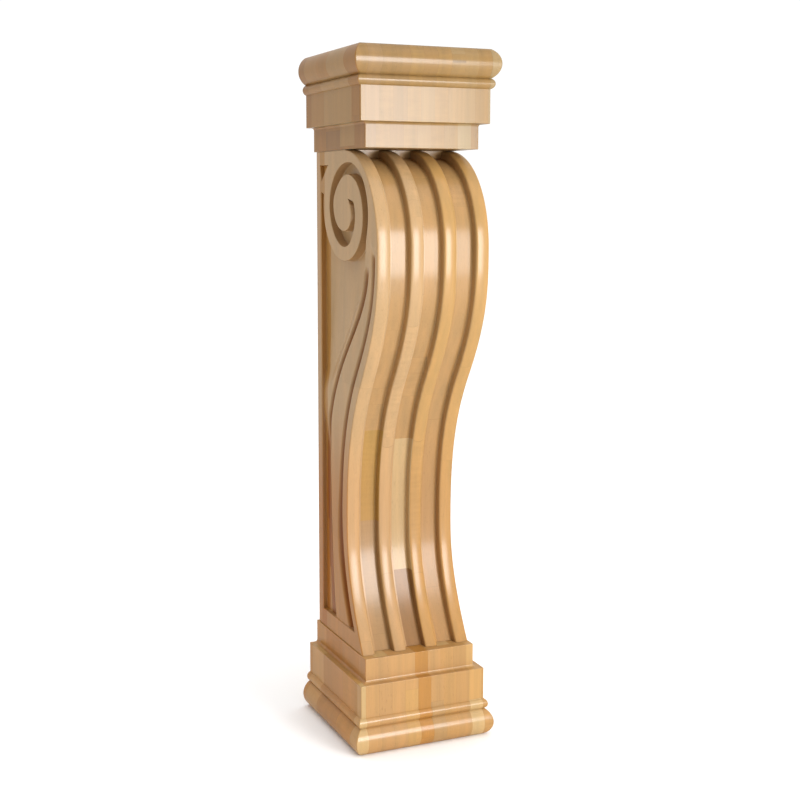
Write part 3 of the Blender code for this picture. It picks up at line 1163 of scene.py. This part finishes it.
# %% [markdown]
# ## The wood
# The blocks are glued up from staves about 19 mm thick, laid side by side, and the shaft from staves
# of about 23 mm. Each such layer is made of strips of several widths, and each strip of pieces butted
# end to end. A Voronoi texture on a line cuts it into uneven pieces and gives each of them numbers of
# its own, and these choose that piece's colour and grain. Everything reads Object coordinates, so the
# staves run through the wood and every carved face shows the right ones.
# Sums in a shader are many small Math nodes. A short class wraps a socket, so that a sum can be
# written as a sum, and one function adds any other node.

# %% Write shader sums as sums
def put(tree, socket, value):
    if isinstance(value, Wire):
        tree.links.new(value.socket, socket)
    else:
        socket.default_value = value


def add_node(tree, kind, settings, inputs, output=0):
    """Adds a node: its settings first, then its inputs by name or place. Gives one output."""
    node = tree.nodes.new(kind)
    for name, value in settings.items():
        setattr(node, name, value)
    for key, value in inputs.items():
        if isinstance(key, int):
            put(tree, node.inputs[key], value)
        else:
            put(tree, next(item for item in node.inputs if key in (item.identifier, item.name)), value)
    sockets = [item for item in node.outputs if output in (item.identifier, item.name)]
    return Wire(tree, sockets[0] if sockets else node.outputs[output])


class Wire:
    """An output socket that can be added, multiplied and compared."""

    def __init__(self, tree, socket):
        self.tree = tree
        self.socket = socket

    def maths(self, operation, *others):
        inputs = dict(enumerate((self, *others)))
        return add_node(self.tree, "ShaderNodeMath", {"operation": operation}, inputs)

    def __add__(self, other):
        return self.maths("ADD", other)

    def __sub__(self, other):
        return self.maths("SUBTRACT", other)

    def __rsub__(self, other):
        return self * -1.0 + other

    def __mul__(self, other):
        return self.maths("MULTIPLY", other)

    def __truediv__(self, other):
        return self.maths("DIVIDE", other)

    def __gt__(self, other):
        return self.maths("GREATER_THAN", other)

    def __lt__(self, other):
        return self.maths("LESS_THAN", other)

    __radd__ = __add__
    __rmul__ = __mul__

    def ramp(self, low, high):
        """Rises smoothly from 0 at the low value to 1 at the high one."""
        settings = {"interpolation_type": "SMOOTHSTEP"}
        inputs = {"Value": self, "From Min": low, "From Max": high}
        return add_node(self.tree, "ShaderNodeMapRange", settings, inputs, "Result")


def mix_colour(tree, factor, first, second):
    inputs = {"Factor_Float": factor, "A_Color": first, "B_Color": second}
    return add_node(tree, "ShaderNodeMix", {"data_type": "RGBA"}, inputs, "Result_Color")


def vector_maths(tree, operation, first, second):
    return add_node(tree, "ShaderNodeVectorMath", {"operation": operation}, {0: first, 1: second})


def combine(tree, x, y, z):
    return add_node(tree, "ShaderNodeCombineXYZ", {}, {"X": x, "Y": y, "Z": z})


def separate(tree, vector):
    return [add_node(tree, "ShaderNodeSeparateXYZ", {}, {"Vector": vector}, axis) for axis in "XYZ"]


def attribute(tree, name):
    return add_node(tree, "ShaderNodeAttribute", {"attribute_name": name}, {}, "Fac")


def grain(tree, place, scale, detail, roughness):
    """Noise that the scale draws out along the staves."""
    stretched = add_node(tree, "ShaderNodeMapping", {}, {"Vector": place, "Scale": scale})
    inputs = {"Vector": stretched, "Scale": 1.0, "Detail": detail, "Roughness": roughness}
    return add_node(tree, "ShaderNodeTexNoise", {"noise_dimensions": "3D"}, inputs, "Fac")


print("shader helpers ready")

# %% Choose the wood's colours
GREY = (0.345, 0.213, 0.094)
TAN = (0.370, 0.215, 0.084)
HONEY = (0.405, 0.231, 0.078)
CREAM = (0.437, 0.305, 0.150)
PINK = (0.400, 0.240, 0.115)
ORANGE = (0.360, 0.178, 0.046)
BUFF = (0.415, 0.258, 0.120)
ROSE = (0.325, 0.200, 0.087)
UMBER = (0.255, 0.138, 0.050)
AMBER = (0.352, 0.205, 0.054)
TONES = (GREY, TAN, HONEY, CREAM, HONEY, PINK, TAN, ORANGE)
# How the wood is glued up: width of a layer, where the first starts, the place left of which it is
# all one layer, width of a strip, length of a piece, how far the tones stray from buff, and how dark
# the joints are
BLOCK_STAVES = (0.019, -0.0836, -1.0, 0.050, 0.30, 1.0, 0.35)
SHAFT_STAVES = (0.02286, -0.09956, -0.0755, 0.110, 0.55, 0.45, 0.22)
JOINT_LINE = 0.00018
# Painted shade: in the gouges and on upright walls the colour darkens towards this tint. The low part
# of the shaft's sides takes a darker, warmer painted shade, and its front takes a share of that
PAINTED_SHADE_TINT = (0.56, 0.35, 0.12)
LOW_WARM_SHADE_TINT = (0.93, 0.66, 0.36)
LOW_FRONT_SHADE_SHARE = 0.30
LOW_PART = (0.30, 0.47)
# Each piece's own numbers move its grain by up to these distances. The strips of each layer and the
# pieces of each strip are shifted too, so that their joints don't line up
GRAIN_SHIFT = (3.0, 3.0, 7.0)
LAYER_SHIFT = 7.31
STRIP_SHIFT = 40.0
# Each kind of grain: its scale across, in depth and along, its detail and its roughness
FIBRE = ((900.0, 900.0, 25.0), 3.0, 0.6)
FIGURE = ((120.0, 60.0, 5.0), 3.0, 0.5)
FLECK = ((800.0, 800.0, 170.0), 2.0, 0.5)
CURL = ((40.0, 40.0, 230.0), 2.0, 0.5)
# How much each kind of grain shades the wood, and which staves have flecks and curl
FIBRE_SHADE = 0.16
FIGURE_SHADE = 0.30
CURL_SHADE = 0.30
FLECK_SHADE = 0.14
FLECK_RAMP = (0.60, 0.70)
LEAST_FLECK = 0.1
CURL_RAMP = (0.55, 0.95)
WARM_FIGURE = 0.12
COOL_FIGURE = 0.10
# The lacquer
ROUGHNESS = 0.30
FIBRE_ROUGHNESS = 0.10
PIECE_ROUGHNESS = 0.05
LACQUER = {"Specular IOR Level": 0.06, "Coat Weight": 0.06, "Coat Roughness": 0.20, "Coat IOR": 4.0}
FIBRE_RELIEF = 0.5
FLECK_RELIEF = -0.3
RELIEF = {"Strength": 0.25, "Distance": 0.0002}


def tone_ramp(tree, factor):
    """Picks one of the tones, which lie at even steps from 0 to 1."""
    node = tree.nodes.new("ShaderNodeValToRGB")
    node.color_ramp.interpolation = "LINEAR"
    stops = node.color_ramp.elements
    while len(stops) < len(TONES):
        stops.new(1.0)
    for index, (stop, colour) in enumerate(zip(stops, TONES)):
        stop.position = index / (len(TONES) - 1)
        stop.color = (*colour, 1.0)
    put(tree, node.inputs["Fac"], factor)
    return Wire(tree, node.outputs["Color"])


def cells(tree, position):
    """Cuts a line into uneven pieces: three numbers for each piece, and the way to its end."""
    outputs = []
    for feature, output in (("F1", "Color"), ("DISTANCE_TO_EDGE", "Distance")):
        settings = {"voronoi_dimensions": "1D", "feature": feature}
        inputs = {"W": position, "Scale": 1.0}
        outputs.append(add_node(tree, "ShaderNodeTexVoronoi", settings, inputs, output))
    return separate(tree, outputs[0]), outputs[1]


def tinted(tree, factor, colour, tint):
    return mix_colour(tree, factor, colour, vector_maths(tree, "MULTIPLY", colour, tint))


def within(value, low, high):
    return (value > low) * (value < high)


def warm_shade_part(tree, z, low_part):
    """Where painted shade warms the colour: the marked faces, or the low part of the shaft, and there
    above all its marked faces.
    """
    marked = attribute(tree, "warm")
    if low_part:
        return (1.0 - z.ramp(*low_part)) * (marked * (1.0 - LOW_FRONT_SHADE_SHARE) + LOW_FRONT_SHADE_SHARE)
    return marked


def stave_wood(name, seed, staves, tint, warm_shade_tint, low_part=None, chosen=()):
    """Wood of glued staves. A chosen stave is (layer, depths, heights, colour)."""
    layer_width, first_layer, outer, strip_width, piece_length, stray, joint_shade = staves
    material = bpy.data.materials.new(name)
    material.use_nodes = True
    tree = material.node_tree
    place = add_node(tree, "ShaderNodeTexCoord", {}, {}, "Object")
    x, y, z = separate(tree, place)
    depth = BACK_Y - y
    across = (x.maths("MAXIMUM", outer) - first_layer) / layer_width
    layer = across.maths("FLOOR")
    strip, strip_edge = cells(tree, depth / strip_width + layer * LAYER_SHIFT + seed)
    piece, piece_edge = cells(tree, z / piece_length + strip[0] * STRIP_SHIFT + seed)
    colour = mix_colour(tree, stray, (*BUFF, 1.0), tone_ramp(tree, piece[0]))
    for index, depths, heights, chosen_colour in chosen:
        here = within(layer, index - 0.5, index + 0.5) * within(depth, *depths) * within(z, *heights)
        colour = mix_colour(tree, here, colour, (*chosen_colour, 1.0))
    shift = combine(tree, *[piece[own] * far for own, far in zip((1, 2, 1), GRAIN_SHIFT)])
    local = vector_maths(tree, "ADD", place, shift)
    fibre = grain(tree, local, *FIBRE)
    figure = grain(tree, local, *FIGURE) - 0.5
    fleck = grain(tree, local, *FLECK).ramp(*FLECK_RAMP) * (piece[2] * (1.0 - LEAST_FLECK) + LEAST_FLECK)
    curl = (grain(tree, local, *CURL) - 0.5) * piece[1].ramp(*CURL_RAMP)
    shade = (fibre - 0.5) * FIBRE_SHADE + figure * FIGURE_SHADE + curl * CURL_SHADE
    shade = shade + 1.0 - fleck * FLECK_SHADE
    joint = (across.maths("FRACT") - 0.5).maths("ABSOLUTE").ramp(0.5 - JOINT_LINE / layer_width, 0.5)
    joint = joint.maths("MAXIMUM", 1.0 - strip_edge.ramp(0.0, JOINT_LINE / strip_width))
    joint = joint.maths("MAXIMUM", 1.0 - piece_edge.ramp(0.0, JOINT_LINE / piece_length))
    shade = shade * (1.0 - joint * joint_shade)
    warm = shade * (1.0 + figure * WARM_FIGURE)
    cool = shade * (1.0 - figure * COOL_FIGURE)
    shades = combine(tree, warm * tint[0], shade * tint[1], cool * tint[2])
    colour = vector_maths(tree, "MULTIPLY", colour, shades)
    # Painted shade: the marked side faces and the low part of the shaft are tinted darker and warmer
    colour = tinted(tree, warm_shade_part(tree, z, low_part), colour, warm_shade_tint)
    # Painted shade in the gouges and on the carving's upright walls
    colour = tinted(tree, attribute(tree, "painted_shade"), colour, PAINTED_SHADE_TINT)
    shader = tree.nodes["Principled BSDF"]
    put(tree, shader.inputs["Base Color"], colour)
    roughness = (fibre - 0.5) * FIBRE_ROUGHNESS + piece[1] * PIECE_ROUGHNESS + ROUGHNESS
    put(tree, shader.inputs["Roughness"], roughness)
    for socket, value in LACQUER.items():
        shader.inputs[socket].default_value = value
    relief = {"Height": fibre * FIBRE_RELIEF + curl + fleck * FLECK_RELIEF, **RELIEF}
    put(tree, shader.inputs["Normal"], add_node(tree, "ShaderNodeBump", {}, relief, "Normal"))
    return material


# %% [markdown]
# ## A wood for each piece
# The three pieces are of one kind of wood, but each is glued up from staves of its own. So each has
# its own seed and tint. Where the photograph shows a stave's colour clearly, that colour is chosen,
# and the other staves are left to chance.

# %% Make the three woods
WHOLE = (-1.0, 1.0)
FRONT = (0.060, 1.0)
BACK_STRIP = (-1.0, 0.018)
NEXT_STRIP = (0.018, 0.036)
SHAFT_SEED = 3.0
SHAFT_TINT = (1.0, 1.0, 1.0)
SHAFT_CHOSEN = (
    (1, WHOLE, WHOLE, BUFF),
    (1, BACK_STRIP, WHOLE, PINK),
    (1, NEXT_STRIP, WHOLE, ORANGE),
    (2, WHOLE, WHOLE, TAN),
    (2, FRONT, (0.292, 0.419), AMBER),
    (2, FRONT, (0.100, 0.292), ROSE),
    (3, WHOLE, WHOLE, BUFF),
    (4, WHOLE, WHOLE, TAN),
    (4, FRONT, (0.221, 0.404), CREAM),
    (4, FRONT, (0.100, 0.221), UMBER),
    (5, WHOLE, WHOLE, HONEY),
    (6, WHOLE, WHOLE, TAN),
    (7, WHOLE, WHOLE, HONEY),
)
BASE_SEED = 11.0
BASE_TINT = (1.06, 1.00, 0.89)
# The tint of the painted shade on the base's left-facing faces
BASE_WARM_SHADE_TINT = (0.98, 0.83, 0.68)
BASE_CHOSEN = ((4, WHOLE, WHOLE, ORANGE), (7, WHOLE, WHOLE, TAN))
CAPITAL_SEED = 17.0
CAPITAL_TINT = (0.685, 0.69, 0.665)
# The tint of the painted shade on the capital's left-facing faces
CAPITAL_WARM_SHADE_TINT = (1.08, 0.88, 0.66)

shaft_wood = stave_wood(
    "shaft_wood", SHAFT_SEED, SHAFT_STAVES, SHAFT_TINT, LOW_WARM_SHADE_TINT, LOW_PART, SHAFT_CHOSEN,
)
base_wood = stave_wood(
    "base_wood", BASE_SEED, BLOCK_STAVES, BASE_TINT, BASE_WARM_SHADE_TINT, chosen=BASE_CHOSEN,
)
capital_wood = stave_wood(
    "capital_wood", CAPITAL_SEED, BLOCK_STAVES, CAPITAL_TINT, CAPITAL_WARM_SHADE_TINT,
)
for piece, wood in ((base, base_wood), (capital, capital_wood), (shaft, shaft_wood)):
    piece.data.materials.clear()
    piece.data.materials.append(wood)
print("woods", base_wood.name, shaft_wood.name, capital_wood.name)

# %% [markdown]
# ## In place of the plain solids
# Each finished piece takes the place of one solid of the imported model and rides on the same body.
# Nothing on the corbel moves, so that body is the root.

# %% Finish
for piece, node in ((base, "base_block"), (capital, "capital_block"), (shaft, "scroll_shaft")):
    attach(piece, "root")
    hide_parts(node)
